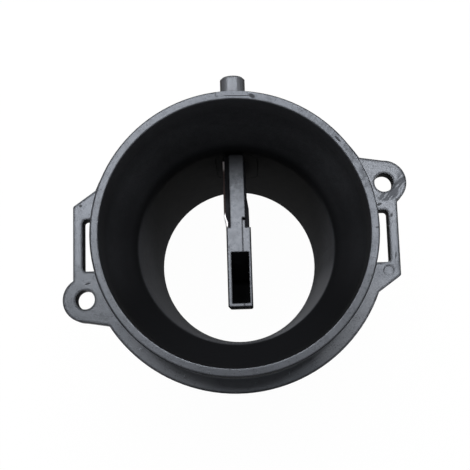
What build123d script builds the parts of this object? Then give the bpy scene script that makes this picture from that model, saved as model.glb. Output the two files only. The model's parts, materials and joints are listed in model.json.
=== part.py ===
from build123d import *
from math import atan2, cos, radians, sin, tan
import os

# Mass airflow sensor, in millimetres. +Z runs up the bore from the outlet to the inlet, and the
# origin is the centre of the outlet end face. The measuring module stands on the +Y side.

# Duct: air passage and wall
duct_height = 75.5
duct_wall = 2.5
collar_bore_r = 37.5
collar_height = 18.0
collar_edge_r = 0.4
bell_drop = 13.5
bell_hollow_r = 18.0
throat_depth = 28.0
throat_r = 29.5
throat_lip_r = 10.0
outlet_bore_r = 26.5

# Duct: outlet spigot for the hose
spigot_wall = 3.5
spigot_length = 15.0
spigot_chamfer = 0.5
hose_stop_height = 2.0
hose_stop_length = 2.5

# Duct: flange with ears and strap slots, the same when turned half round
flange_ledge = 4.3
flange_thickness = 5.0
ear_reach = 7.1
ear_angle = 19.85
ear_r = 6.6
ear_hole_r = 2.8
ear_root_angle = 32.4
strap_bar_reach = 7.8
strap_corner_y = -11.7
strap_root_angle = -21.7
strap_slot_width = 5.0
strap_slot_height = 15.4
strap_slot_ledge = 0.15
strap_slot_bow_r = 60.0
slot_corner_r = 1.0
flange_corner_r = 0.8
ejector_mark_r = 1.5
ejector_mark_inset = 3.5
ejector_mark_y = -10.2

# Duct: stiffening ribs behind the flange
rib_thickness = 2.0
rib_inset = 1.8
rib_drop = 9.0
rib_angles = (-150, -120, -90, -60, -30, 42, 138)

# Duct: locating peg and the gate mark on the rim in front of it
peg_x = 0.4
peg_r = 3.75
peg_height = 6.0
peg_chamfer = 0.6
peg_boss_wall = 0.8
peg_boss_rise = 0.5
peg_boss_clearance = 1.0
gate_mark_width = 9.0
gate_mark_height = 1.6
mark_depth = 0.15

# Measuring module: blade in the air stream
module_x = 0.8
blade_front_depth = 31.0
blade_chord = 24.0
blade_width = 7.6
blade_tip_y = -18.5
blade_tip_taper = 1.5
bypass_top_y = 6.2
blade_tail_r = 1.6
blade_edge_r = 0.5
blade_tip_r = 0.6
base_plate_thickness = 0.6
press_top_y = 9.8
press_bottom_y = 8.2
frame_right_inset = 1.65
lid_thickness = 0.6
lid_pad_thickness = 1.2
lid_pad_top_y = 12.2
lid_slope_top_y = 16.2
side_gap = 0.15
side_top_gap = 0.4
lid_front_setback = 1.8
plate_front_setback = 0.9
side_tail_setback = 1.8
glue_rebate_width = 1.35
glue_rebate_depth = 1.2
lid_rim_height = 0.6

# Measuring module: bypass passage
inlet_bottom_y = -17.2
inlet_top_y = -1.4
bypass_floor = 1.3
cover_thickness = 0.85
cover_seam = 5.0
funnel_end_y = -8.0
tail_wall = 1.5
turn_gap = 5.0
turn_corner_r = 2.4
passage_bottom_y = 0.8
passage_top_y = 4.4
front_wall = 3.0
outlet_window = 3.6
tab_width = 0.9
tab_height = 2.3
tab_depth = 1.8
tab_gap = 0.8
tab_clearance = 0.1

# Measuring module: electronics in the tray of the blade's frame
tray_floor = 1.3
tray_wall = 2.4
tray_top_wall = 1.4
tray_corner_r = 1.5
board_thickness = 0.8
board_size = 14.6
board_clearance = 0.2
chip_size = 5.0
chip_height = 1.0
capacitor_length = 2.0
capacitor_width = 1.25
capacitor_height = 0.9
capacitor_pitch = 4.0
capacitor_count = 3
capacitor_inset = 2.8
tongue_width = 6.0
tongue_end_y = 0.0
tongue_setback = 0.5
tongue_clearance = 0.1
sensing_chip_length = 3.2
sensing_chip_width = 2.6
sensing_chip_height = 0.8
gel_depth = 2.3

# Measuring module: seal neck, mounting plate and their fixings
pad_rise = 3.5
neck_length = 28.0
neck_width = 13.0
neck_clearance = 0.15
groove_setback = 1.5
groove_height = 2.2
groove_depth = 1.6
ring_clearance = 0.03
plate_thickness = 3.0
plate_width = 23.0
plate_length = 30.0
plate_corner_r = 4.0
plate_edge_chamfer = 0.5
screw_spacing = 31.2
screw_ear_r = 4.8
screw_head_r = 3.8
screw_head_height = 2.6
screw_head_edge_r = 0.8
screw_length = 9.5
screw_r = 1.95
screw_tip_chamfer = 0.6
screw_socket_r = 1.7
screw_socket_depth = 1.4
sleeve_r = 3.2
sleeve_bore_r = 2.2
insert_r = 2.8
insert_bore_r = 2.0
insert_length = 7.0
insert_end_room = 0.8

# Measuring module: connector shroud, terminals and bond wires
shroud_width = 22.6
shroud_height = 12.8
shroud_wall = 1.4
shroud_corner_r = 2.0
shroud_tip_z = 3.5
shroud_depth = 14.0
head_length = 22.0
head_slope_length = 11.5
head_slope_drop = 3.6
latch_width = 6.0
latch_length = 4.0
latch_height = 1.6
latch_setback = 3.0
terminal_count = 5
terminal_pitch = 3.6
terminal_size = 0.64
terminal_recess = 3.5
lead_pitch = 3.0
lead_jog_height = 1.8
lead_overhang = 1.0
bond_width = 0.3
bond_thickness = 0.15
bond_landing = 0.8

# Measuring module: intake air thermistor behind the blade
thermistor_r = 1.1
thermistor_length = 3.0
thermistor_drop = 5.5
thermistor_gap = 0.4
thermistor_edge_r = 0.45
thermistor_lead_r = 0.25
thermistor_lead_pitch = 1.2
thermistor_lead_depth = 1.6

# Places worked out from the sizes above
throat_z = duct_height - throat_depth
bell_z = throat_z + bell_drop
bell_angle = atan2(collar_bore_r - throat_r, bell_drop)
collar_r = collar_bore_r + duct_wall
spigot_r = outlet_bore_r + spigot_wall
flange_r = collar_r + flange_ledge
flange_back_z = duct_height - collar_height - flange_thickness
blade_front_z = duct_height - blade_front_depth
blade_tail_z = blade_front_z - blade_chord
module_z = (blade_front_z + blade_tail_z) / 2
blade_left_x = module_x - blade_width / 2
blade_right_x = module_x + blade_width / 2
frame_right_x = blade_right_x - frame_right_inset
floor_x = blade_left_x + bypass_floor
seam_x = blade_left_x + cover_seam
tray_floor_x = blade_left_x + tray_floor
board_face_x = blade_left_x + board_thickness
tongue_face_x = blade_left_x + base_plate_thickness


def across_x(x):
    """Plane at x: a sketch on it is drawn in (y, z) and extrudes towards +X."""
    return Plane.YZ.offset(x)


def facing_y(y):
    """Plane at y: a sketch on it is drawn in (x, z) and extrudes towards the duct's axis."""
    return Plane.XZ.offset(-y)


def bore_radius(z):
    """Radius of the drafted tube at a height below the throat."""
    return outlet_bore_r + (throat_r - outlet_bore_r) * z / throat_z


def passage_line(grow):
    """Line of the air passage in section from the rim down, moved outwards by grow."""
    drop = grow * tan(bell_angle / 2)
    corners = [
        (collar_bore_r + grow, duct_height),
        (collar_bore_r + grow, bell_z - drop),
        (throat_r + grow, throat_z - drop),
        (outlet_bore_r + grow, 0),
    ]
    return FilletPolyline(*corners, radius=[bell_hollow_r + grow, throat_lip_r - grow])


def span(low, high, bottom, top, corner_r=0, mode=Mode.ADD):
    """Rectangle between two values of each sketch axis, with rounded corners if asked."""
    with Locations(((low + high) / 2, (bottom + top) / 2)):
        if corner_r:
            RectangleRounded(high - low, top - bottom, corner_r, mode=mode)
        else:
            Rectangle(high - low, top - bottom, mode=mode)


def tip_wedge(y, mode=Mode.ADD):
    """What the taper of the blade's tip takes off in (y, z), from y at the front."""
    corners = (y, blade_front_z), (y, blade_tail_z), (y + blade_tip_taper, blade_tail_z)
    Polygon(*corners, align=None, mode=mode)


def polar(radius, angle):
    """Point at a radius and an angle in degrees."""
    return radius * cos(radians(angle)), radius * sin(radians(angle))


def screw_places():
    """The two screw positions in the mounting plate, in (x, z)."""
    return [(module_x - screw_spacing / 2, module_z), (module_x + screw_spacing / 2, module_z)]


def neck_slot(margin, mode=Mode.ADD):
    """Oval of the seal neck in (x, z), grown by margin all round."""
    with Locations((module_x, module_z)):
        SlotOverall(neck_length + 2 * margin, neck_width + 2 * margin, rotation=90, mode=mode)


# Solid core up to the middle of the duct's wall: what joins the wall outside is trimmed to it
with BuildPart() as core:
    with BuildSketch(Plane.XZ):
        with BuildLine():
            core_line = passage_line(duct_wall / 2)
            Polyline(core_line @ 1, (0, 0), (0, duct_height), core_line @ 0)
        make_face()
    revolve(axis=Axis.Z)

# The air passage itself: the module's seal neck ends flush with it
with BuildPart() as air_passage:
    with BuildSketch(Plane.XZ):
        with BuildLine():
            bore_line = passage_line(0)
            Polyline(bore_line @ 1, (0, 0), (0, duct_height), bore_line @ 0)
        make_face()
    revolve(axis=Axis.Z)

# One ear with its strap bar, and the strap slots of both sides, bowed beside the collar
ear_centre = polar(collar_r + ear_reach, ear_angle)
ear_root = polar(flange_r, ear_root_angle)
strap_root = polar(flange_r, strap_root_angle)
strap_bar_x = collar_r + strap_bar_reach

with BuildSketch() as ear_outline:
    with Locations(ear_centre):
        Circle(ear_r)
    with BuildLine():
        FilletPolyline(
            (0, ear_root[1]),
            ear_root,
            (ear_centre[0], ear_centre[1] + ear_r),
            ear_centre,
            (strap_bar_x, ear_centre[1]),
            (strap_bar_x, strap_corner_y),
            strap_root,
            (0, strap_root[1]),
            radius=[0, 0, 0, 0, 0, flange_corner_r, 0, 0],
            close=True,
        )
    make_face()

slot_inner_x = collar_r + strap_slot_ledge
with BuildSketch() as between_slots:
    with Locations((slot_inner_x - strap_slot_bow_r, 0)):
        Circle(strap_slot_bow_r)
    with Locations((strap_slot_bow_r - slot_inner_x, 0)):
        Circle(strap_slot_bow_r, mode=Mode.INTERSECT)

with BuildSketch() as strap_slots:
    RectangleRounded(2 * (collar_r + strap_slot_width), strap_slot_height, slot_corner_r)
    add(between_slots.sketch, mode=Mode.SUBTRACT)

# Mounting plate outline: a rounded block with an ear at each screw
with BuildSketch() as plate_outline:
    with Locations((module_x, module_z)):
        RectangleRounded(plate_width, plate_length, plate_corner_r)
    with Locations(*screw_places()):
        Circle(screw_ear_r)
    make_hull()

pad_y = bore_radius(module_z) + duct_wall + pad_rise
plate_top_y = pad_y + plate_thickness
peg_top_y = flange_r + peg_height

# Duct housing: one moulding with the collar, bell, tube, spigot, flange, peg and module seat
with BuildPart() as duct_housing:
    with BuildSketch(Plane.XY.offset(flange_back_z)):
        Circle(flange_r)
        for turn in (0, 180):
            add(ear_outline.sketch, rotation=turn)
        add(strap_slots.sketch, mode=Mode.SUBTRACT)
        with PolarLocations(collar_r + ear_reach, 2, ear_angle):
            Circle(ear_hole_r, mode=Mode.SUBTRACT)
    extrude(amount=flange_thickness)
    with BuildSketch(Plane.XY.offset(flange_back_z)):
        Circle(collar_r)
    extrude(amount=flange_thickness + collar_height - 2 * collar_edge_r)

    for angle in rib_angles:
        x, y = polar(1, angle)
        with BuildSketch(Plane(origin=(0, 0, 0), x_dir=(x, y, 0), z_dir=(y, -x, 0))):
            with BuildLine():
                Polyline(
                    (throat_r, flange_back_z),
                    (flange_r - rib_inset, flange_back_z),
                    (throat_r + duct_wall, flange_back_z - rib_drop),
                    (throat_r, flange_back_z - rib_drop),
                    close=True,
                )
            make_face()
        extrude(amount=rib_thickness / 2, both=True)

    with BuildSketch(facing_y(pad_y)):
        add(plate_outline.sketch)
    extrude(amount=pad_y / 2)

    peg_place = (peg_x, flange_back_z + flange_thickness / 2)
    with BuildSketch(facing_y(peg_top_y)):
        with Locations(peg_place):
            Circle(peg_r)
    extrude(amount=peg_height)
    chamfer(duct_housing.faces().sort_by(Axis.Y)[-1].edges(), peg_chamfer)
    with BuildSketch(facing_y(flange_r + peg_boss_rise)):
        with Locations(peg_place):
            Circle(peg_r + peg_boss_wall)
    extrude(amount=flange_ledge + peg_boss_rise - peg_boss_clearance)

    with BuildSketch(Plane.XY):
        Circle(spigot_r)
    extrude(amount=spigot_length + hose_stop_length)
    chamfer(duct_housing.faces().sort_by(Axis.Z)[0].edges(), spigot_chamfer)
    with BuildSketch(Plane.XY.offset(spigot_length)):
        Circle(spigot_r + hose_stop_height)
    extrude(amount=hose_stop_length)

    add(core.part, mode=Mode.SUBTRACT)
    with BuildSketch(Plane.XZ) as wall_section:
        with BuildLine():
            inner_line = passage_line(0)
            outer_line = passage_line(duct_wall)
            Line(inner_line @ 0, outer_line @ 0)
            Line(inner_line @ 1, outer_line @ 1)
        make_face()
        fillet(wall_section.vertices().group_by(Axis.Y)[-1], collar_edge_r)
    revolve(axis=Axis.Z)

    # Window for the seal neck and blind holes for the threaded inserts
    with BuildSketch(facing_y(pad_y)):
        neck_slot(neck_clearance)
    extrude(amount=pad_y, mode=Mode.SUBTRACT)
    with BuildSketch(facing_y(pad_y)):
        with Locations(*screw_places()):
            Circle(insert_r)
    extrude(amount=insert_length + insert_end_room, mode=Mode.SUBTRACT)

    # Shallow marks that the mould leaves on the rim and on the flange
    with BuildSketch(Plane.XY.offset(duct_height)):
        with Locations((peg_x, collar_r)):
            Rectangle(gate_mark_width, 2 * gate_mark_height)
    extrude(amount=-mark_depth, mode=Mode.SUBTRACT)
    with BuildSketch(Plane.XY.offset(flange_back_z + flange_thickness)):
        with Locations((strap_bar_x - ejector_mark_inset, ejector_mark_y)):
            Circle(ejector_mark_r)
    extrude(amount=-mark_depth, mode=Mode.SUBTRACT)

# Air path through the bypass in (y, z): a funnel from the inlet, a turn at the tail and a
# straight measuring passage back towards the front
turn_start_z = blade_tail_z + tail_wall
turn_end_z = turn_start_z + turn_gap
with BuildSketch() as bypass_channel:
    span(inlet_bottom_y, passage_top_y, turn_start_z, turn_end_z + turn_corner_r, turn_corner_r)
    span(inlet_bottom_y, passage_top_y, turn_end_z, turn_end_z + turn_corner_r, mode=Mode.SUBTRACT)
    with BuildLine():
        Polyline(
            (inlet_bottom_y, blade_front_z),
            (inlet_top_y, blade_front_z),
            (funnel_end_y, turn_end_z),
            (inlet_bottom_y, turn_end_z),
            close=True,
        )
    make_face()
    span(passage_bottom_y, passage_top_y, turn_end_z, blade_front_z - front_wall)
    tip_wedge(inlet_bottom_y, mode=Mode.SUBTRACT)

# Place of the base plate's tongue and of the sensing chip on it, in (y, z)
passage_mid_y = (passage_bottom_y + passage_top_y) / 2
tongue_mid_z = module_z + tongue_setback
tongue_low_z = tongue_mid_z - tongue_width / 2
tongue_high_z = tongue_mid_z + tongue_width / 2

# Bypass end of the blade, before it is parted at the seam
with BuildPart() as bypass_body:
    with BuildSketch(facing_y(bypass_top_y)) as bypass_section:
        span(blade_left_x, blade_right_x, blade_tail_z, blade_front_z)
        fillet(bypass_section.vertices().group_by(Axis.Y)[0], blade_tail_r)
        fillet(bypass_section.vertices().group_by(Axis.Y)[-1], blade_edge_r)
    extrude(amount=bypass_top_y - blade_tip_y)
    with BuildSketch(across_x(blade_left_x)):
        tip_wedge(blade_tip_y)
    extrude(amount=blade_width, mode=Mode.SUBTRACT)
    fillet(bypass_body.faces().sort_by(Axis.Y)[0].edges(), blade_tip_r)
    with BuildSketch(across_x(floor_x)):
        add(bypass_channel.sketch)
    extrude(amount=blade_width - bypass_floor - cover_thickness, mode=Mode.SUBTRACT)
    with BuildSketch(across_x(blade_left_x)):
        passage_end_z = blade_front_z - front_wall
        span(passage_bottom_y, passage_top_y, passage_end_z - outlet_window, passage_end_z)
        span(passage_bottom_y, passage_top_y, tongue_low_z, tongue_high_z)
    extrude(amount=bypass_floor, mode=Mode.SUBTRACT)

with BuildPart() as bypass_left:
    add(bypass_body.part)
    split(bisect_by=across_x(seam_x), keep=Keep.BOTTOM)

# Bypass cover: right half of the bypass, with a tab that hooks over the frame's front edge
with BuildPart() as bypass_cover:
    add(bypass_body.part)
    split(bisect_by=across_x(seam_x), keep=Keep.TOP)
    with BuildSketch(across_x(seam_x)):
        span(bypass_top_y - tab_height, bypass_top_y + tab_height, blade_front_z - tab_depth, blade_front_z)
    extrude(amount=tab_width)

# Electronics tray in (y, z), and the board's place in it
side_top_y = bore_radius(blade_tail_z) - side_top_gap
tray_bottom_y = bypass_top_y + tray_wall
tray_top_y = side_top_y - tray_top_wall
tray_mid_y = (tray_bottom_y + tray_top_y) / 2
board_bottom_y = tray_mid_y - board_size / 2
board_top_y = tray_mid_y + board_size / 2
board_low_z = module_z - board_size / 2
board_high_z = module_z + board_size / 2

# Aluminium base plate on the left of the frame. Its lower end is pressed inwards by one thickness
# and runs down into the bypass as a tongue
side_low_z = blade_tail_z + side_tail_setback
plate_outer_x = blade_left_x - base_plate_thickness
with BuildPart() as base_plate:
    with BuildSketch(Plane.XY.offset(side_low_z)):
        with BuildLine():
            Polyline(
                (plate_outer_x, side_top_y),
                (plate_outer_x, press_top_y),
                (blade_left_x, press_bottom_y),
                (blade_left_x, bypass_top_y + side_gap),
                (tongue_face_x, bypass_top_y + side_gap),
                (tongue_face_x, press_bottom_y),
                (blade_left_x, press_top_y),
                (blade_left_x, side_top_y),
                close=True,
            )
        make_face()
    extrude(amount=blade_front_z - plate_front_setback - side_low_z)
    with BuildSketch(across_x(blade_left_x)):
        span(tongue_end_y, bypass_top_y + side_gap, tongue_low_z, tongue_high_z)
    extrude(amount=base_plate_thickness)

# Connector terminals: a pin in the shroud, a jog inside the mounting plate, a lead to the tray
shroud_y = plate_top_y + shroud_height / 2
jog_y = plate_top_y + lead_jog_height
lead_x = tray_floor_x + gel_depth / 2
lead_end_y = tray_top_y - lead_overhang


def wire_run(start, end):
    """Square terminal wire from start to end along one axis."""
    with Locations((Vector(*start) + Vector(*end)) / 2):
        Box(*(abs(b - a) + terminal_size for a, b in zip(start, end)))


terminals = []
for index in range(terminal_count):
    step = index - (terminal_count - 1) / 2
    pin_x = module_x + step * terminal_pitch
    lead_z = module_z + step * lead_pitch
    with BuildPart() as terminal:
        wire_run((pin_x, shroud_y, shroud_tip_z + terminal_recess), (pin_x, shroud_y, lead_z))
        wire_run((pin_x, shroud_y, lead_z), (pin_x, jog_y, lead_z))
        wire_run((pin_x, jog_y, lead_z), (lead_x, jog_y, lead_z))
        wire_run((lead_x, jog_y, lead_z), (lead_x, lead_end_y + terminal_size / 2, lead_z))
    terminal.part.label = f"terminal_{index + 1}"
    terminals.append(terminal.part)

# Thermistor bead and its two leads, held in the seal neck behind the blade
thermistor_z = blade_tail_z - thermistor_gap - thermistor_r
bead_top_y = bore_radius(thermistor_z) - thermistor_drop
with BuildPart() as thermistor_leads:
    with BuildSketch(facing_y(bore_radius(thermistor_z) + thermistor_lead_depth)):
        with Locations((module_x, thermistor_z)):
            with GridLocations(thermistor_lead_pitch, 0, 2, 1):
                Circle(thermistor_lead_r)
    extrude(amount=thermistor_lead_depth + thermistor_drop + thermistor_length / 2)

with BuildPart() as thermistor_bead:
    with BuildSketch(facing_y(bead_top_y)):
        with Locations((module_x, thermistor_z)):
            Circle(thermistor_r)
    extrude(amount=thermistor_length)
    fillet(thermistor_bead.edges().filter_by(GeomType.CIRCLE), thermistor_edge_r)
    add(thermistor_leads.part, mode=Mode.SUBTRACT)

# Seal groove round the neck
groove_top_y = pad_y - groove_setback
groove_bottom_y = groove_top_y - groove_height

# Sensor housing: one moulding with the mounting plate, seal neck, frame, bypass half and connector
with BuildPart() as sensor_housing:
    with BuildSketch(facing_y(pad_y)):
        neck_slot(0)
    extrude(amount=pad_y / 2)
    add(air_passage.part, mode=Mode.SUBTRACT)
    with BuildSketch(facing_y(groove_top_y)):
        neck_slot(neck_clearance)
        neck_slot(-groove_depth, mode=Mode.SUBTRACT)
    extrude(amount=groove_height, mode=Mode.SUBTRACT)
    with BuildSketch(facing_y(plate_top_y)):
        add(plate_outline.sketch)
        with Locations(*screw_places()):
            Circle(sleeve_r, mode=Mode.SUBTRACT)
    extrude(amount=plate_thickness)
    chamfer(sensor_housing.faces().sort_by(Axis.Y)[-1].outer_wire().edges(), plate_edge_chamfer)

    with BuildSketch(facing_y(groove_bottom_y)) as frame_section:
        span(blade_left_x, frame_right_x, blade_tail_z, blade_front_z)
        fillet(frame_section.vertices().group_by(Axis.Y)[0], blade_tail_r)
        rebate_x, rebate_z = blade_left_x + glue_rebate_width, blade_front_z - glue_rebate_depth
        span(blade_left_x, rebate_x, rebate_z, blade_front_z, mode=Mode.SUBTRACT)
    extrude(amount=groove_bottom_y - bypass_top_y)
    add(bypass_left.part)

    # Tray, open on the right, with a window behind the board
    with BuildSketch(across_x(tray_floor_x)):
        span(tray_bottom_y, tray_top_y, blade_tail_z + tray_wall, blade_front_z - tray_wall, tray_corner_r)
    extrude(amount=frame_right_x - tray_floor_x, mode=Mode.SUBTRACT)
    with BuildSketch(across_x(blade_left_x)):
        span(
            board_bottom_y - board_clearance,
            board_top_y + board_clearance,
            board_low_z - board_clearance,
            board_high_z + board_clearance,
        )
    extrude(amount=tray_floor, mode=Mode.SUBTRACT)

    # Recess on the left for the pressed end of the base plate and its tongue
    with BuildSketch(across_x(blade_left_x)):
        span(
            tongue_end_y - tongue_clearance,
            bypass_top_y,
            tongue_low_z - tongue_clearance,
            tongue_high_z + tongue_clearance,
        )
    extrude(amount=base_plate_thickness, mode=Mode.SUBTRACT)
    add(base_plate.part, mode=Mode.SUBTRACT)

    # Notch in the front edge that takes the cover's tab
    with BuildSketch(across_x(seam_x)):
        span(
            bypass_top_y,
            bypass_top_y + tab_height + tab_gap,
            blade_front_z - tab_depth - tab_clearance,
            blade_front_z,
        )
    extrude(amount=frame_right_x - seam_x, mode=Mode.SUBTRACT)

    # Connector: a head on the mounting plate that runs out into the shroud
    with BuildSketch(Plane.XY.offset(shroud_tip_z)):
        with Locations((module_x, shroud_y)):
            RectangleRounded(shroud_width, shroud_height, shroud_corner_r)
    extrude(amount=shroud_depth)
    with BuildSketch(Plane.XY.offset(shroud_tip_z + shroud_depth)):
        with Locations((module_x, shroud_y)):
            RectangleRounded(shroud_width, shroud_height, shroud_corner_r)
        with Locations((module_x, plate_top_y + shroud_height / 4)):
            Rectangle(shroud_width, shroud_height / 2)
    extrude(amount=head_length)
    head_end_z = shroud_tip_z + shroud_depth + head_length
    with BuildSketch(across_x(module_x - shroud_width / 2)):
        with BuildLine():
            Polyline(
                (plate_top_y + shroud_height, head_end_z - head_slope_length),
                (plate_top_y + shroud_height, head_end_z),
                (plate_top_y + shroud_height - head_slope_drop, head_end_z),
                close=True,
            )
        make_face()
    extrude(amount=shroud_width, mode=Mode.SUBTRACT)
    with BuildSketch(across_x(module_x - latch_width / 2)):
        with BuildLine():
            Polyline(
                (plate_top_y + shroud_height - shroud_wall / 2, shroud_tip_z + latch_setback),
                (plate_top_y + shroud_height, shroud_tip_z + latch_setback),
                (plate_top_y + shroud_height + latch_height, shroud_tip_z + latch_setback + latch_length),
                (plate_top_y + shroud_height - shroud_wall / 2, shroud_tip_z + latch_setback + latch_length),
                close=True,
            )
        make_face()
    extrude(amount=latch_width)
    with BuildSketch(Plane.XY.offset(shroud_tip_z)):
        with Locations((module_x, shroud_y)):
            RectangleRounded(
                shroud_width - 2 * shroud_wall, shroud_height - 2 * shroud_wall, shroud_corner_r - shroud_wall
            )
    extrude(amount=shroud_depth, mode=Mode.SUBTRACT)

    add(terminals, mode=Mode.SUBTRACT)
    add(thermistor_leads.part, mode=Mode.SUBTRACT)

# Lid on the right of the frame, thicker at its lower end, with a rim that sits in the tray
with BuildPart() as electronics_lid:
    with BuildSketch(Plane.XY.offset(side_low_z)):
        with BuildLine():
            Polyline(
                (frame_right_x, bypass_top_y + side_gap),
                (frame_right_x + lid_pad_thickness, bypass_top_y + side_gap),
                (frame_right_x + lid_pad_thickness, lid_pad_top_y),
                (frame_right_x + lid_thickness, lid_slope_top_y),
                (frame_right_x + lid_thickness, side_top_y),
                (frame_right_x, side_top_y),
                close=True,
            )
        make_face()
    extrude(amount=blade_front_z - lid_front_setback - side_low_z)
    with BuildSketch(across_x(frame_right_x)):
        span(
            tray_bottom_y + side_gap,
            tray_top_y - side_gap,
            blade_tail_z + tray_wall + side_gap,
            blade_front_z - tray_wall - side_gap,
            tray_corner_r - side_gap,
        )
    extrude(amount=-lid_rim_height)

# Circuit board on the base plate, with its chip and capacitors
with BuildPart() as circuit_board:
    with BuildSketch(across_x(blade_left_x)):
        span(board_bottom_y, board_top_y, board_low_z, board_high_z)
    extrude(amount=board_thickness)

with BuildPart() as control_chip:
    with BuildSketch(across_x(board_face_x)):
        with Locations((tray_mid_y, module_z)):
            Rectangle(chip_size, chip_size)
    extrude(amount=chip_height)

capacitors = []
for index in range(capacitor_count):
    capacitor_z = module_z + (index - (capacitor_count - 1) / 2) * capacitor_pitch
    with BuildPart() as capacitor:
        with BuildSketch(across_x(board_face_x)):
            with Locations((board_bottom_y + capacitor_inset, capacitor_z)):
                Rectangle(capacitor_width, capacitor_length)
        extrude(amount=capacitor_height)
    capacitor.part.label = f"capacitor_{index + 1}"
    capacitors.append(capacitor.part)

# Bond wires from the terminals' leads down to the board
bond_top_x = lead_x + terminal_size / 2
with BuildPart() as bond_wires:
    for index in range(terminal_count):
        step = index - (terminal_count - 1) / 2
        with BuildSketch(Plane.XY.offset(module_z + step * lead_pitch)):
            with BuildLine():
                Polyline(
                    (bond_top_x, lead_end_y + bond_landing),
                    (bond_top_x, lead_end_y),
                    (board_face_x, board_top_y - bond_landing / 2),
                    (board_face_x, board_top_y - 3 * bond_landing / 2),
                    (board_face_x + bond_thickness, board_top_y - 3 * bond_landing / 2),
                    (board_face_x + bond_thickness, board_top_y - bond_landing / 2),
                    (bond_top_x + bond_thickness, lead_end_y),
                    (bond_top_x + bond_thickness, lead_end_y + bond_landing),
                    close=True,
                )
            make_face()
        extrude(amount=bond_width / 2, both=True)

# Sensing chip on the tongue, in the measuring passage
with BuildPart() as sensing_chip:
    with BuildSketch(across_x(tongue_face_x)):
        with Locations((passage_mid_y, tongue_mid_z)):
            Rectangle(sensing_chip_length, sensing_chip_width)
    extrude(amount=sensing_chip_height)

# Soft gel poured over the board, round all that stands on it
with BuildPart() as protective_gel:
    with BuildSketch(across_x(tray_floor_x)):
        span(tray_bottom_y, tray_top_y, blade_tail_z + tray_wall, blade_front_z - tray_wall, tray_corner_r)
    extrude(amount=gel_depth)
    with BuildSketch(across_x(board_face_x)):
        span(board_bottom_y, board_top_y, board_low_z, board_high_z)
    extrude(amount=tray_floor_x - board_face_x)
    add([control_chip.part, bond_wires.part, *capacitors, *terminals], mode=Mode.SUBTRACT)

# Oval sealing ring, squeezed between the groove and the window in the duct
ring_outer = neck_width / 2 + neck_clearance - ring_clearance
ring_inner = neck_width / 2 - groove_depth + ring_clearance
ring_margin = (ring_outer + ring_inner) / 2 - neck_width / 2
with BuildPart() as o_ring_seal:
    with BuildSketch(facing_y(groove_bottom_y + groove_height / 2), mode=Mode.PRIVATE) as ring_oval:
        neck_slot(ring_margin)
    ring_path = ring_oval.sketch.face().outer_wire()
    with BuildSketch(Plane(origin=ring_path @ 0, x_dir=(0, 1, 0), z_dir=ring_path % 0)):
        Ellipse(groove_height / 2 - ring_clearance, (ring_outer - ring_inner) / 2)
    sweep(path=ring_path)

# Screws, the sleeves that they clamp, and the inserts that they bite in
with BuildPart() as fixing_screws:
    with BuildSketch(facing_y(plate_top_y + screw_head_height)):
        with Locations(*screw_places()):
            Circle(screw_head_r)
    extrude(amount=screw_head_height)
    fillet(fixing_screws.faces().group_by(Axis.Y)[-1].edges(), screw_head_edge_r)
    with BuildSketch(facing_y(plate_top_y)):
        with Locations(*screw_places()):
            Circle(screw_r)
    extrude(amount=screw_length)
    chamfer(fixing_screws.faces().group_by(Axis.Y)[0].edges(), screw_tip_chamfer)
    with BuildSketch(facing_y(plate_top_y + screw_head_height)):
        with Locations(*screw_places()):
            RegularPolygon(screw_socket_r, 6)
    extrude(amount=screw_socket_depth, mode=Mode.SUBTRACT)

with BuildPart() as mounting_sleeves:
    with BuildSketch(facing_y(plate_top_y)):
        with Locations(*screw_places()):
            Circle(sleeve_r)
            Circle(sleeve_bore_r, mode=Mode.SUBTRACT)
    extrude(amount=plate_thickness)

with BuildPart() as threaded_inserts:
    with BuildSketch(facing_y(pad_y)):
        with Locations(*screw_places()):
            Circle(insert_r)
            Circle(insert_bore_r, mode=Mode.SUBTRACT)
    extrude(amount=insert_length)

pieces = {
    "duct_housing": duct_housing.part,
    "sensor_housing": sensor_housing.part,
    "bypass_cover": bypass_cover.part,
    "base_plate": base_plate.part,
    "electronics_lid": electronics_lid.part,
    "circuit_board": circuit_board.part,
    "control_chip": control_chip.part,
    "sensing_chip": sensing_chip.part,
    "bond_wires": bond_wires.part,
    "protective_gel": protective_gel.part,
    "thermistor_bead": thermistor_bead.part,
    "thermistor_leads": thermistor_leads.part,
    "o_ring_seal": o_ring_seal.part,
    "fixing_screws": fixing_screws.part,
    "mounting_sleeves": mounting_sleeves.part,
    "threaded_inserts": threaded_inserts.part,
}
for piece in [*capacitors, *terminals]:
    pieces[piece.label] = piece

os.makedirs("parts", exist_ok=True)
for name, piece in pieces.items():
    piece.label = name
    export_step(piece, f"parts/{name}.step")
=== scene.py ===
import json
from math import cos, pi, radians, sin

import bpy
from mathutils import Matrix, Vector


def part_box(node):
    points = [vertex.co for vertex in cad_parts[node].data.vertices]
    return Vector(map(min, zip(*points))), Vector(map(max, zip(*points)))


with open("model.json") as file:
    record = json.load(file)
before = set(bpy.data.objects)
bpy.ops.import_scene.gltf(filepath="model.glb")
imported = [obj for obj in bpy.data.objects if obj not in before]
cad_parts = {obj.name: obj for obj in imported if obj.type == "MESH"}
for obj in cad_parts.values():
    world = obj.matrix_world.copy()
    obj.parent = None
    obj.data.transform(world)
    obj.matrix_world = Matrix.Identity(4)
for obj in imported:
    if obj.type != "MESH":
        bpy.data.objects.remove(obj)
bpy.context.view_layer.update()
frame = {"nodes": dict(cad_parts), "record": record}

# Duct housing. One moulding in glass-filled black plastic: the collar for the inlet hose, the
# bell and tube, the outlet spigot, the flange and the peg. The hollow side keeps the fine grain
# of the mould, and the front faces are polished by handling and smeared round one screw. Light
# and shade are painted into its colour: sheen on the front faces, a highlight on the peg, shade
# along the edges and in the bore, and light on the bore's wall.
MM = 0.001


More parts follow.
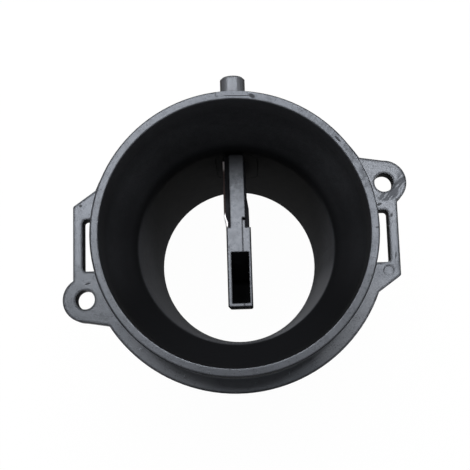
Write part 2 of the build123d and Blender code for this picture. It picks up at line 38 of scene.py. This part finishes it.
class Socket:
    """An output of a node. Arithmetic on it adds Math nodes to its node tree."""

    def __init__(self, nodes, output):
        self.nodes = nodes
        self.output = output

    def __add__(self, other):
        return self.nodes.maths("ADD", self, other)

    def __sub__(self, other):
        return self.nodes.maths("SUBTRACT", self, other)

    def __rsub__(self, other):
        return self.nodes.maths("SUBTRACT", other, self)

    def __mul__(self, other):
        return self.nodes.maths("MULTIPLY", self, other)

    def __truediv__(self, other):
        return self.nodes.maths("DIVIDE", self, other)

    def __pow__(self, other):
        return self.nodes.maths("POWER", self, other)

    __radd__ = __add__
    __rmul__ = __mul__


class Nodes:
    """A node tree of a material or of the room."""

    def __init__(self, tree):
        self.tree = tree

    def node(self, kind, settings, sockets, output=0):
        """Adds a node: its settings first, then the values or links of its sockets."""
        made = self.tree.nodes.new(kind)
        for name, value in settings.items():
            setattr(made, name, value)
        self.feed(made, sockets)
        return Socket(self, made.outputs[output])

    def feed(self, node, sockets):
        """Sets or links sockets of a node. A colour may be given as three numbers."""
        for name, value in sockets.items():
            if isinstance(value, Socket):
                self.tree.links.new(value.output, node.inputs[name])
            elif node.inputs[name].type == "RGBA":
                node.inputs[name].default_value = (*value, 1)
            else:
                node.inputs[name].default_value = value

    def maths(self, operation, *values):
        return self.node("ShaderNodeMath", {"operation": operation}, dict(enumerate(values)))

    def highest(self, *values):
        """The greatest of these values."""
        best = values[0]
        for value in values[1:]:
            best = self.maths("MAXIMUM", best, value)
        return best

    def distance(self, across, along):
        """Length of the line to a point that lies this far across and this far along."""
        return (across * across + along * along) ** 0.5

    def along(self, vector, axis):
        """One coordinate of a vector."""
        return self.node("ShaderNodeSeparateXYZ", {}, {"Vector": vector}, output=axis)

    def step(self, value, start, end):
        """Rises smoothly from 0 at start to 1 at end."""
        sockets = {"Value": value, "From Min": start, "From Max": end}
        return self.node("ShaderNodeMapRange", {"interpolation_type": "SMOOTHSTEP"}, sockets)

    def window(self, value, start, first, last, end):
        """Rises from 0 to 1 between start and first, and falls again between last and end."""
        return self.step(value, start, first) * self.step(value, end, last)

    def mixed_shader(self, share, first, second):
        """First shader where the share is 0, second where it is 1."""
        return self.node("ShaderNodeMixShader", {}, {0: share, 1: first, 2: second})

    def rays(self):
        """1 for rays that look at a surface, straight, in a mirror or through glass."""
        kinds = ("Is Camera Ray", "Is Glossy Ray", "Is Transmission Ray")
        paths = [self.node("ShaderNodeLightPath", {}, {}, output=kind) for kind in kinds]
        return self.highest(*paths)


class Finish(Nodes):
    """A material: one Principled shader and the nodes that feed it."""

    def __init__(self, name):
        self.material = bpy.data.materials.new(name)
        self.material.use_nodes = True
        super().__init__(self.material.node_tree)
        self.shader = self.tree.nodes["Principled BSDF"]
        self.place = self.node("ShaderNodeTexCoord", {}, {}, output="Object")
        self.facing = self.node("ShaderNodeNewGeometry", {}, {}, output="Normal")

    def blend(self, first, second, share):
        """Colour that goes from first to second as share goes from 0 to 1."""
        sockets = {0: share, 6: first, 7: second}
        return self.node("ShaderNodeMix", {"data_type": "RGBA"}, sockets, output=2)

    def stretched(self, vector, stretch, turn=0):
        """Vector for a pattern, stretched along its axes after a turn about Z."""
        sockets = {"Vector": vector, "Scale": stretch, "Rotation": (0, 0, turn)}
        return self.node("ShaderNodeMapping", {"vector_type": "TEXTURE"}, sockets)

    def cloud(self, size, detail=3, rough=0.5, vector=None):
        """Soft noise from 0 to 1 whose spots are about this wide, in metres."""
        sockets = {"Vector": vector or self.place, "Scale": 1 / size, "Detail": detail}
        return self.node("ShaderNodeTexNoise", {}, {**sockets, "Roughness": rough})

    def rounded(self, radius):
        """Normal of the shape with its edges rounded this much."""
        return self.node("ShaderNodeBevel", {"samples": 6}, {"Radius": radius})

    def relief(self, height, depth):
        """Normal of a relief this deep, over slightly rounded edges."""
        sockets = {"Height": height, "Distance": depth, "Normal": self.rounded(0.4 * MM)}
        return self.node("ShaderNodeBump", {}, sockets)

    def edges(self, width):
        """1 along sharp edges, within about this far from them, and 0 on flat faces."""
        facings = {0: self.rounded(width), 1: self.facing}
        settings = {"operation": "DOT_PRODUCT"}
        turned = self.node("ShaderNodeVectorMath", settings, facings, output="Value")
        return self.step(turned, 0.998, 0.972)

    def coat(self, sockets):
        """Feeds the shader."""
        self.feed(self.shader, sockets)

    def show(self, shader):
        """Makes this the shader that the surface shows."""
        self.feed(self.tree.nodes["Material Output"], {"Surface": shader})

    def dress(self, *names):
        """Gives this finish to CAD nodes."""
        for name in names:
            for slot in frame["nodes"][name].material_slots:
                slot.material = self.material


def degrees(*angles):
    """Angles in radians, given in degrees."""
    return [radians(angle) for angle in angles]


mounts = {mount["name"]: mount for mount in frame["record"]["mounts"]}
rim_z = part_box("duct_housing")[1].z
flange_z = mounts["flange_face"]["pos_m"][2]
bell_foot_z = 47.5 * MM
collar_r = mounts["inlet_collar"]["dims"]["r_mm"] * MM
peg_x, _, peg_z = mounts["locating_peg"]["pos_m"]
peg_r = mounts["locating_peg"]["dims"]["r_mm"] * MM
peg_foot_y, peg_clear_y = 43 * MM, 45 * MM

# The bore's inner wall is painted darker than the outside, a painted shade, and the front faces are
# painted paler than the sides, partly a painted sheen. The pale grey paints sheen and light onto
# the flange, the peg's crest and the tube.
duct_black_painted_shade = (0.0042, 0.0045, 0.0054)
duct_side = (0.0110, 0.0116, 0.0135)
dust_and_painted_light = (0.0700, 0.0730, 0.0820)
front_black = (0.048, 0.051, 0.060)
painted_light_grey = (0.120, 0.124, 0.135)
rim_black = (0.020, 0.021, 0.025)
left_ear_painted_shade = (0.012, 0.013, 0.015)
smear_black = (0.010, 0.011, 0.015)
cool_sheen = (0.84, 0.90, 1.0)
polished_rough, matte_rough = 0.26, 0.85
matte_level = 0.06

duct = Finish("duct_plastic")
x, y, z = (duct.along(duct.place, axis) for axis in "XYZ")
up = duct.along(duct.facing, "Z")
radius = duct.distance(x, y)
raised = y / radius
clock = duct.maths("ARCTAN2", y, x)
outward = (x * duct.along(duct.facing, "X") + y * duct.along(duct.facing, "Y")) / radius
grain = duct.cloud(0.35 * MM, detail=2, rough=0.6)
mottle = duct.cloud(2.5 * MM, detail=4, rough=0.6)
patches = duct.cloud(9 * MM, detail=3)


def sector(middle, half, fade=10):
    """1 within this many degrees of a direction seen from the axis, and 0 beyond the fade."""
    turned = duct.maths("COSINE", clock - radians(middle))
    return duct.step(turned, cos(radians(half + fade)), cos(radians(half)))


# Parts of the duct: its front faces, the rim, the peg, the inner wall and the bell
on_front = duct.step(up, 0.8, 0.97) * duct.step(z, flange_z - 0.6 * MM, flange_z - 0.1 * MM)
on_rim = on_front * duct.step(z, rim_z - 1 * MM, rim_z - 0.3 * MM)
beyond_wall = duct.step(radius, collar_r - 1.5 * MM, collar_r - 0.5 * MM)
off_peg = (x - peg_x) ** 2 + (z - peg_z) ** 2
on_peg = duct.step(y, peg_foot_y, peg_clear_y) * duct.step(off_peg, 1.2 * peg_r**2, 1.1 * peg_r**2)
inside = duct.step(radius, collar_r - 2.0 * MM, collar_r - 2.5 * MM) * duct.step(outward, 0.3, -0.3)
in_bell = duct.step(z, bell_foot_z - 1 * MM, bell_foot_z + 1 * MM)

# Polished parts: the level front faces, the crest of the peg and, less so, the handled outside
side_polish, low_polish = 0.28, 0.17
level = duct.step(up, 0.7, 0.95) * (on_rim + (1 - on_rim) * beyond_wall)
handled = side_polish + low_polish * duct.step(z, 56 * MM, 46 * MM)
handled = handled * duct.step(outward, 0.0, 0.4) * duct.step(up, 0.35, 0.15)
front = duct.highest(level, on_peg * duct.step(up, 0.25, 0.88), handled)

# Fine lines across the rim, and darker smears on its upper right
line_stretch, blotch_stretch = 0.12, 0.5
across_rim = duct.node(
    "ShaderNodeCombineXYZ", {}, {"X": clock * collar_r, "Y": radius * line_stretch}
)
lines = duct.cloud(0.45 * MM, detail=2, vector=across_rim)
upper_right = duct.window(clock, *degrees(8, 24, 48, 66))
rim_smear = 0.8 * on_rim * upper_right * duct.step(mottle, 0.46, 0.62)

# Smear of slanting streaks that a washer left round the right ear's hole: close to the hole
# below it, and swinging outwards on its right
hole_x, hole_y = 44.3 * MM, 16.0 * MM
band_r, band_swing = 4.3 * MM, 1.5 * MM
band_core, band_reach = 0.8 * MM, 1.6 * MM
from_hole = duct.distance(x - hole_x, y - hole_y)
hole_clock = duct.maths("ARCTAN2", y - hole_y, x - hole_x)
off_band = from_hole - (band_r + band_swing * duct.step(hole_clock, *degrees(-15, 30)))
washer_band = duct.step(off_band**2, band_reach**2, band_core**2)
washer_arc = duct.window(hole_clock, *degrees(-130, -95, 15, 45))
slanting = duct.stretched(duct.place, (1, 5, 1), radians(-42))
swipes = duct.step(duct.cloud(0.7 * MM, detail=3, vector=slanting), 0.38, 0.52)
washer_smear = on_front * washer_band * washer_arc * swipes
smear = duct.highest(rim_smear, washer_smear)

# Small dark nicks: middle x and y, half length, half width in mm, and their turn in degrees
nicks = (
    (42.6, 9.5, 0.8, 0.4, 20),
    (46.0, 6.1, 0.6, 0.4, 70),
    (46.6, -5.8, 1.2, 0.2, 85),
    (39.4, -0.4, 0.6, 0.25, 5),
    (-43.6, -11.3, 0.9, 0.25, 15),
    (-45.6, 11.9, 0.5, 0.4, 0),
    (1.8, 38.4, 4.2, 0.2, -2),
    (6.1, 38.2, 1.0, 0.6, -35),
    (29.6, 24.9, 1.2, 0.35, -50),
    (-44.8, 18.4, 0.2, 1.6, 6),
)
marks = []
for nick_x, nick_y, half_length, half_width, turned in nicks:
    dx, dy = x - nick_x * MM, y - nick_y * MM
    along = (cos(radians(turned)) * dx + sin(radians(turned)) * dy) / (half_length * MM)
    across = (cos(radians(turned)) * dy - sin(radians(turned)) * dx) / (half_width * MM)
    marks.append(duct.step(along * along + across * across, 1.4, 0.5))
nicked = on_front * duct.highest(*marks)

# Edges painted dark and dull, a painted shade along the rounded edges: narrow on the rim and broad
# elsewhere. They are faint on the ring that an ejector pin left, on the peg and at the gate's mark,
# and stay off the foot of the collar.
ring_x, ring_y = 44.1 * MM, -10.2 * MM
rim_edge, flange_edge = 0.5 * MM, 1.3 * MM
from_ring = duct.distance(x - ring_x, y - ring_y)
off_marks = (1 - 0.7 * on_peg) * (0.25 + 0.75 * duct.step(from_ring, 2.0 * MM, 3.0 * MM))
gate_width = duct.window(x, -5 * MM, -4 * MM, 7.5 * MM, 8.5 * MM)
at_gate = duct.step(y, 36 * MM, 36.5 * MM) * gate_width
clear_of_foot = duct.step(radius, collar_r + 0.4 * MM, collar_r + 1.4 * MM)
outline = on_rim * duct.edges(rim_edge) * (1 - 0.8 * at_gate)
outline = outline + (1 - on_rim) * duct.edges(flange_edge) * off_marks * clear_of_foot

# Scuffs on the polished faces, blotches along the rim, mostly on its right, and two stretches of it
# with less polish, a painted shade on its sheen: their middle and half width in degrees
shaded_stretches = ((-32, 8), (-92, 10))
along_rim = duct.node(
    "ShaderNodeCombineXYZ", {}, {"X": clock * collar_r, "Y": radius * blotch_stretch}
)
blotch = duct.cloud(2.2 * MM, detail=4, rough=0.65, vector=along_rim)
right_half = duct.window(clock, *degrees(-75, -20, 70, 85))
blotched = on_rim * (0.10 + 0.16 * right_half) * duct.step(blotch, 0.50, 0.62)
sheen_shaded = on_rim * duct.highest(*(sector(middle, half) for middle, half in shaded_stretches))
scuffed = duct.step(grain, 0.50, 0.68) * duct.step(mottle, 0.40, 0.62)

# What each mark takes from the polish
edge_loss, nick_loss, scuff_loss = 0.95, 0.8, 0.55
stretch_shade_loss, rim_smear_loss, washer_loss = 0.13, 0.22, 0.42
polished = front * (1 - scuff_loss * scuffed) * (1 - blotched) * (1 - stretch_shade_loss * sheen_shaded)
polished = polished * (1 - edge_loss * outline) * (1 - nick_loss * nicked)
polished = polished * (1 - rim_smear_loss * rim_smear - washer_loss * washer_smear)

# Painted light inside, with a dusty unevenness: lightest near the rim at twelve o'clock and dark
# at the bell's foot, a painted shadow, then lighter again low in the tube, with a painted pale
# patch of light on its lower right. The inner wall itself is painted darker, a painted shade.
painted_light_up = 0.24 * duct.step(raised, -0.6, 0.0) + 0.76 * duct.step(raised, 0.1, 0.9)
painted_light_out = 0.35 * duct.step(z, 48.5 * MM, 52 * MM) + 0.55 * duct.step(z, 52 * MM, 61 * MM)
low_painted_light = 0.75 * duct.step(raised, 0.75, -0.05) * (1 - in_bell)
uneven = 0.7 + 0.3 * patches + 0.5 * (mottle - 0.5) + 0.8 * (grain - 0.5)
painted_light_film = inside * (painted_light_up * (0.10 + painted_light_out) * in_bell + low_painted_light) * uneven
painted_light_tube = 0.75 * inside * (1 - in_bell) * sector(-42, 16, 20)
walls_and_painted_light = duct.blend(duct.blend(duct_side, duct_black_painted_shade, inside), dust_and_painted_light, painted_light_film)
walls_and_painted_light = duct.blend(walls_and_painted_light, painted_light_grey, painted_light_tube)

# Painted sheen on parts of the flange's face: middle and half width in degrees, and strength. The
# left ear is painted darker, a painted shade, and the rim is painted paler on its upper half, a
# painted sheen.
painted_sheen_parts = ((-37, 14, 1.0), (20, 12, 0.6), (-120, 14, 0.65))
painted_sheen = duct.highest(*(strength * sector(middle, half) for middle, half, strength in painted_sheen_parts))
left_ear, upper_rim = sector(-160, 9, fade=4), sector(75, 85)
flange_face = duct.blend(front_black, painted_light_grey, painted_sheen * (0.95 + 0.6 * (mottle - 0.5)))
flange_face = duct.blend(flange_face, left_ear_painted_shade, 0.9 * left_ear)
rim_face = duct.blend(rim_black, front_black, upper_rim)
wear_and_painted_light = duct.blend(duct.blend(walls_and_painted_light, flange_face, on_front), rim_face, on_rim)
# The peg's upward-facing crest is painted pale, a painted highlight.
wear_and_painted_light = duct.blend(wear_and_painted_light, painted_light_grey, 0.6 * on_peg * duct.step(up, 0.7, 0.95))

relief = duct.relief(grain + 0.25 * lines * on_rim, 0.02 * MM)
rim_rough = on_rim * (0.03 + 0.06 * (lines - 0.5))
duct.coat({
    "Base Color": duct.blend(wear_and_painted_light, smear_black, smear),
    "Roughness": polished_rough + rim_rough + 0.08 * (mottle - 0.5) + 0.14 * smear,
    "Specular IOR Level": 1.0,
    "Specular Tint": cool_sheen,
    "Normal": relief,
})
matte = duct.node("ShaderNodeBsdfPrincipled", {}, {
    "Base Color": walls_and_painted_light,
    "Roughness": matte_rough + 0.10 * (mottle - 0.5),
    "Specular IOR Level": matte_level,
    "Normal": relief,
})
duct.show(duct.mixed_shader(polished, matte, Socket(duct, duct.shader.outputs[0])))
duct.dress("duct_housing")

# Sensor housing. One moulding in dark grey plastic: the blade's frame with half of the bypass,
# the seal neck, the mounting plate and the connector shroud. Two screws hold it to the duct.
# The blade's front is painted paler than its deep sides, partly a painted sheen.
module_front_sheen = (0.075, 0.079, 0.090)
module_dust = (0.150, 0.156, 0.176)
module_deep = (0.014, 0.0147, 0.0172)
unshaded_y, shade_y, deep_shade_y, root_y, outside_y = 12 * MM, 22 * MM, 28 * MM, 31 * MM, 33 * MM
border_width, border_core = 0.50 * MM, 0.25 * MM
blade_width = 7.6 * MM
blade_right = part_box("bypass_cover")[1].x
blade_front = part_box("bypass_cover")[1].z
blade_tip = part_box("sensor_housing")[0].y
outside_polish = 0.45


def moulded(name, shade, dusty, roughness):
    """Moulded plastic: fine grain, soft patches of dust and a slightly uneven gloss."""
    plastic = Finish(name)
    plastic.grain = plastic.cloud(0.3 * MM, detail=2, rough=0.6)
    plastic.mottle = plastic.cloud(1.6 * MM, detail=4, rough=0.6)
    plastic.patches = plastic.cloud(6 * MM, detail=3)
    dust = plastic.step(plastic.patches * 0.6 + plastic.mottle * 0.4, 0.42, 0.7)
    plastic.colour = plastic.blend(shade, dusty, dust)
    plastic.coat({
        "Base Color": plastic.colour,
        "Roughness": roughness + 0.10 * (plastic.mottle - 0.5),
        "Specular Tint": cool_sheen,
        "Normal": plastic.relief(plastic.grain, 0.015 * MM),
    })
    return plastic


def fronted(name, shade, roughness):
    """Moulded plastic whose front on the blade is painted pale and polished, partly a painted
    sheen.
    Towards its root the front turns dark and matte, a painted shade under the duct's wall, and its
    borders are painted dark, a painted shade at the edges. The sides are deep black and matte
    inside the duct, and painted darker near the root, a painted shade."""
    plastic = moulded(name, shade, module_dust, roughness)
    up = plastic.along(plastic.facing, "Z")
    x, y, z = (plastic.along(plastic.place, axis) for axis in "XYZ")
    near_front = plastic.step(z, blade_front - 0.6 * MM, blade_front - 0.2 * MM)
    on_front = plastic.step(up, 0.88, 0.985) * near_front
    outside = plastic.step(y, root_y, outside_y)
    in_shade = plastic.step(y, shade_y, deep_shade_y) * (1 - outside)

    # Polish of the front, broken by scribbled marks, fading to a painted shade at the root and
    # edges
    insets = (x - (blade_right - blade_width), blade_right - x, y - blade_tip)
    border = plastic.highest(*(plastic.step(i, border_width, border_core) for i in insets))
    scribbles = plastic.step(plastic.grain, 0.56, 0.66) * plastic.step(plastic.patches, 0.40, 0.60)
    front_polish_and_painted_shade = plastic.step(y, root_y, unshaded_y) * (1 + (plastic.mottle - 0.5))
    front_polish_and_painted_shade = front_polish_and_painted_shade * (1 - 0.85 * plastic.edges(0.6 * MM)) * (1 - 0.7 * scribbles)
    front_polish_and_painted_shade = front_polish_and_painted_shade * (1 - 0.9 * border)

    plastic.coat({
        "Base Color": plastic.blend(module_deep, plastic.colour, on_front),
        "Specular IOR Level": 1.0,
    })
    thin_dust = 0.15 * plastic.step(plastic.patches, 0.5, 0.8)
    dusty_deep = plastic.blend(module_deep, module_dust, thin_dust)
    matte = plastic.node("ShaderNodeBsdfPrincipled", {}, {
        "Base Color": plastic.blend(dusty_deep, duct_black_painted_shade, in_shade),
        "Roughness": matte_rough + 0.10 * (plastic.mottle - 0.5),
        "Specular IOR Level": matte_level,
    })
    share = plastic.highest(on_front * front_polish_and_painted_shade, outside_polish * outside)
    plastic.show(plastic.mixed_shader(share, matte, Socket(plastic, plastic.shader.outputs[0])))
    return plastic


fronted("module_plastic", module_front_sheen, 0.32).dress("sensor_housing")

# Bypass cover. A moulded half that closes the bypass on the right of the blade. Its seam shows on
# the front edge, with the notch above its tab.
# The cover's front is painted pale like the housing's, partly a painted sheen.
cover_front_sheen = (0.085, 0.089, 0.100)
fronted("cover_plastic", cover_front_sheen, 0.32).dress("bypass_cover")

# Electronics lid. A thin moulded cover in black plastic. It is glued over the circuit board on the
# right of the blade.
lid_black = (0.014, 0.015, 0.017)
fronted("lid_plastic", lid_black, 0.40).dress("electronics_lid")

# Base plate. Rolled aluminium sheet on the left of the blade, with the board glued to it. Its
# sheared front edge is tarnished brown, with two places worn bright: their middle y and share.
aluminium = (0.66, 0.66, 0.68)
aluminium_dull = (0.45, 0.44, 0.45)
sheared_brown = (0.055, 0.042, 0.042)
worn_bright = ((8.6 * MM, 1.0), (26.5 * MM, 0.25))
worn_half = 2.2 * MM

sheet = Finish("base_aluminium")
rolled = sheet.cloud(0.5 * MM, detail=3, vector=sheet.stretched(sheet.place, (1, 12, 1)))
sheet_y, sheet_up = sheet.along(sheet.place, "Y"), sheet.along(sheet.facing, "Z")
tarnished = sheet.step(sheet_up, 0.5, 0.8)
for middle, worn_share in worn_bright:
    away = sheet.maths("ABSOLUTE", sheet_y - middle)
    tarnished = tarnished * (1 - worn_share * sheet.step(away, 1.2 * worn_half, 0.6 * worn_half))
face = sheet.blend(aluminium_dull, aluminium, sheet.step(rolled, 0.35, 0.65))
sheet.coat({
    "Base Color": sheet.blend(face, sheared_brown, tarnished),
    "Metallic": 1.0,
    "Roughness": 0.28 + 0.16 * rolled + 0.3 * tarnished,
    "Normal": sheet.relief(rolled, 0.01 * MM),
})
sheet.dress("base_plate")

# Circuit board with its chip and capacitors, glued to the base plate. Fired ceramic with printed
# silver tracks; the chip is moulded resin, and the capacitors are tan ceramic with tinned ends.
ceramic_white = (0.70, 0.71, 0.68)
track_silver = (0.46, 0.46, 0.45)
track_rows, track_width = 260, 0.03
black, white = (0, 0, 0), (1, 1, 1)

board = Finish("board_ceramic")
track = board.node("ShaderNodeTexBrick", {"offset": 0.37, "squash": 1.6}, {
    "Vector": board.place, "Color1": black, "Color2": black, "Mortar": white,
    "Scale": track_rows, "Mortar Size": track_width,
})
fired = board.cloud(0.8 * MM)
board.coat({
    "Base Color": board.blend(ceramic_white, track_silver, track),
    "Roughness": 0.35 + 0.2 * fired,
    "Normal": board.relief(track + 0.2 * fired, 0.02 * MM),
})
board.dress("circuit_board")

chip_black = (0.025, 0.025, 0.028)
chip_grey = (0.045, 0.045, 0.048)
moulded("chip_resin", chip_black, chip_grey, 0.55).dress("control_chip")

tan, deep_tan = (0.42, 0.32, 0.20), (0.36, 0.27, 0.17)
tin = (0.62, 0.62, 0.60)
end_share, end_fade = 0.28, 0.10
for number in (1, 2, 3):
    name = f"capacitor_{number}"
    low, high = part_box(name)
    middle_z, half = (low.z + high.z) / 2, (high.z - low.z) / 2
    body = Finish(f"{name}_ceramic")
    from_middle = body.maths("ABSOLUTE", body.along(body.place, "Z") - middle_z)
    tinned = body.step(from_middle, half * (1 - end_share - end_fade), half * (1 - end_share))
    speckle = body.cloud(0.2 * MM)
    body.coat({
        "Base Color": body.blend(body.blend(tan, deep_tan, speckle), tin, tinned),
        "Metallic": tinned,
        "Roughness": 0.32 + 0.2 * speckle,
    })
    body.dress(name)

# Sensing chip. A polished silicon die with a thin heated film, whose colour shifts a little. It
# is glued to the base plate's tongue, in the bypass.
silicon_blue, silicon_violet = (0.11, 0.12, 0.19), (0.22, 0.18, 0.28)

silicon = Finish("sensing_silicon")
film = silicon.cloud(0.4 * MM, detail=1)
silicon.coat({
    "Base Color": silicon.blend(silicon_blue, silicon_violet, film),
    "Metallic": 0.6,
    "Roughness": 0.12 + 0.1 * film,
})
silicon.dress("sensing_chip")

# Bond wires. Drawn aluminium ribbon, welded between the board and the ends of the connector's
# terminals.
ribbon_dull, ribbon_bright = (0.68, 0.68, 0.70), (0.80, 0.80, 0.81)

ribbon = Finish("bond_metal")
drawn = ribbon.cloud(0.15 * MM, vector=ribbon.stretched(ribbon.place, (1, 10, 1)))
ribbon.coat({
    "Base Color": ribbon.blend(ribbon_dull, ribbon_bright, drawn),
    "Metallic": 1.0,
    "Roughness": 0.22 + 0.15 * drawn,
})
ribbon.dress("bond_wires")

# Protective gel. Clear silicone, slightly milky. It is poured over the board and set in the
# blade's tray.
gel_clear, gel_milky = (0.62, 0.64, 0.62), (0.72, 0.73, 0.70)
gel_clarity, gel_ior = 0.6, 1.41

gel = Finish("gel_silicone")
cloudy = gel.cloud(3 * MM)
gel.coat({
    "Base Color": gel.blend(gel_clear, gel_milky, cloudy),
    "Roughness": 0.08 + 0.1 * cloudy,
    "Transmission Weight": gel_clarity,
    "IOR": gel_ior,
})
gel.dress("protective_gel")

# Air thermistor. A bead dipped in black resin, on two tinned leads that hold it behind the
# blade.
bead_black, bead_grey = (0.018, 0.018, 0.022), (0.035, 0.035, 0.040)

bead = Finish("thermistor_resin")
dipped = bead.cloud(0.9 * MM)
bead.coat({
    "Base Color": bead.blend(bead_black, bead_grey, dipped),
    "Roughness": 0.18 + 0.12 * dipped,
    "Normal": bead.relief(dipped, 0.05 * MM),
})
bead.dress("thermistor_bead")


def plated(name, bright, dull, low_roughness, streak):
    """Plated or bare metal with fine marks along one axis and dull spots."""
    metal = Finish(name)
    marks = metal.cloud(0.25 * MM, detail=3, vector=metal.stretched(metal.place, streak))
    spots = metal.cloud(1.5 * MM, detail=4, rough=0.65)
    metal.coat({
        "Base Color": metal.blend(bright, dull, metal.step(spots, 0.45, 0.75)),
        "Metallic": 1.0,
        "Roughness": low_roughness + 0.14 * marks + 0.16 * metal.step(spots, 0.4, 0.8),
        "Normal": metal.relief(marks, 0.006 * MM),
    })
    return metal


lead_bright, lead_dull = (0.62, 0.62, 0.61), (0.48, 0.47, 0.45)
plated("lead_steel", lead_bright, lead_dull, 0.24, (1, 8, 1)).dress("thermistor_leads")

# Sealing ring. Black rubber with a faint bloom, squeezed between the neck's groove and the
# duct's window.
rubber_black, rubber_bloom = (0.020, 0.019, 0.018), (0.045, 0.043, 0.040)

rubber = Finish("seal_rubber")
bloom = rubber.cloud(1.2 * MM, detail=4)
rubber.coat({
    "Base Color": rubber.blend(rubber_black, rubber_bloom, rubber.step(bloom, 0.45, 0.8)),
    "Roughness": 0.5 + 0.2 * bloom,
    "Normal": rubber.relief(rubber.cloud(0.2 * MM), 0.01 * MM),
})
rubber.dress("o_ring_seal")

# Fixings. Two zinc-plated socket screws clamp the plate through steel sleeves onto the duct, and
# bite in turned brass inserts.
zinc_bright, zinc_dull = (0.60, 0.60, 0.58), (0.42, 0.42, 0.43)
steel_bright, steel_dull = (0.58, 0.58, 0.59), (0.45, 0.45, 0.46)
brass_bright, brass_dull = (0.72, 0.54, 0.24), (0.50, 0.37, 0.18)
plated("screw_zinc", zinc_bright, zinc_dull, 0.26, (1, 1, 1)).dress("fixing_screws")
plated("sleeve_steel", steel_bright, steel_dull, 0.30, (8, 1, 8)).dress("mounting_sleeves")
plated("insert_brass", brass_bright, brass_dull, 0.28, (8, 1, 8)).dress("threaded_inserts")

# Terminals. Five brass pins with tin plating, moulded into the housing from the tray to the
# connector.
tin_bright, tin_dull = (0.74, 0.72, 0.67), (0.60, 0.58, 0.53)
pins = [f"terminal_{number}" for number in range(1, 6)]
plated("terminal_tin", tin_bright, tin_dull, 0.22, (1, 1, 10)).dress(*pins)

# Floor. A plain white surface, which the camera and the reflections see as white, with the
# object's shadow kept.
paper_white = (0.92, 0.92, 0.92)
paper_rough = 0.9
shadow_share = 0.02
floor_side = 4.0

for selected in bpy.context.selected_objects:
    selected.select_set(False)
bpy.ops.mesh.primitive_plane_add(size=floor_side, location=(0, 0, 0))
floor = bpy.context.active_object
floor.name = "floor"
paper = Finish("floor_paper")
paper.coat({"Base Color": paper_white, "Roughness": paper_rough})
glow = paper.node("ShaderNodeEmission", {}, {"Color": white})
share = (1 - shadow_share) * paper.rays()
paper.show(paper.mixed_shader(share, Socket(paper, paper.shader.outputs[0]), glow))
floor.data.materials.append(paper.material)

# Light. One long soft lamp high up beyond the peg and two smaller ones nearer the camera, on its
# left and right. All are mirrored by the front faces. The room has white walls and a dim ceiling.
lamp_height = 1.0
lamps = {
    "back_lamp": ((-0.09, 0.65), (1.82, 0.30), 14.5),
    "left_lamp": ((-0.145, 0.18), (0.31, 0.16), 8.6),
    "right_lamp": ((0.185, 0.16), (0.15, 0.10), 16.5),
}
wall_strength = 1.0
room_strength = 0.20
ceiling_strength = 0.20
ceiling_start, ceiling_end = 0.3, 0.6

for name, ((lamp_x, lamp_y), (length, breadth), radiance) in lamps.items():
    bpy.ops.object.light_add(type="AREA", location=(lamp_x, lamp_y, lamp_height))
    lamp = bpy.context.active_object
    lamp.name = name
    lamp.data.shape = "RECTANGLE"
    lamp.data.size, lamp.data.size_y = length, breadth
    lamp.data.energy = radiance * pi * length * breadth

world = bpy.data.worlds.new("white_room")
world.use_nodes = True
bpy.context.scene.world = world
room = Nodes(world.node_tree)
direction = room.node("ShaderNodeTexCoord", {}, {}, output="Generated")
overhead = room.step(room.along(direction, "Z"), ceiling_start, ceiling_end)
walls, ceiling, ambient = (
    room.node("ShaderNodeBackground", {}, {"Color": white, "Strength": strength})
    for strength in (wall_strength, ceiling_strength, room_strength)
)
seen = room.mixed_shader(overhead, walls, ceiling)
around = room.mixed_shader(room.rays(), ambient, seen)
room.feed(room.tree.nodes["World Output"], {"Surface": around})

# Camera. Above the inlet, as the photograph was taken: the optical axis runs a little towards the
# peg, and the image is turned a few degrees.
camera_place = Vector((4.81 * MM, -44.25 * MM, 333.0 * MM))
camera_turn, camera_tilt, camera_roll = radians(6.107), radians(9.523), radians(-7.898)
sensor_width = 36.0
focal_px, image_px = 951.6, 470

lens = bpy.data.cameras.new("camera")
lens.sensor_width = sensor_width
lens.lens = focal_px / image_px * sensor_width
camera = bpy.data.objects.new("camera", lens)
bpy.context.scene.collection.objects.link(camera)
camera.matrix_world = (
    Matrix.Translation(camera_place)
    @ Matrix.Rotation(camera_turn, 4, "Z")
    @ Matrix.Rotation(camera_tilt, 4, "X")
    @ Matrix.Rotation(camera_roll, 4, "Z")
)
bpy.context.scene.camera = camera
bpy.context.scene.view_settings.view_transform = "Standard"
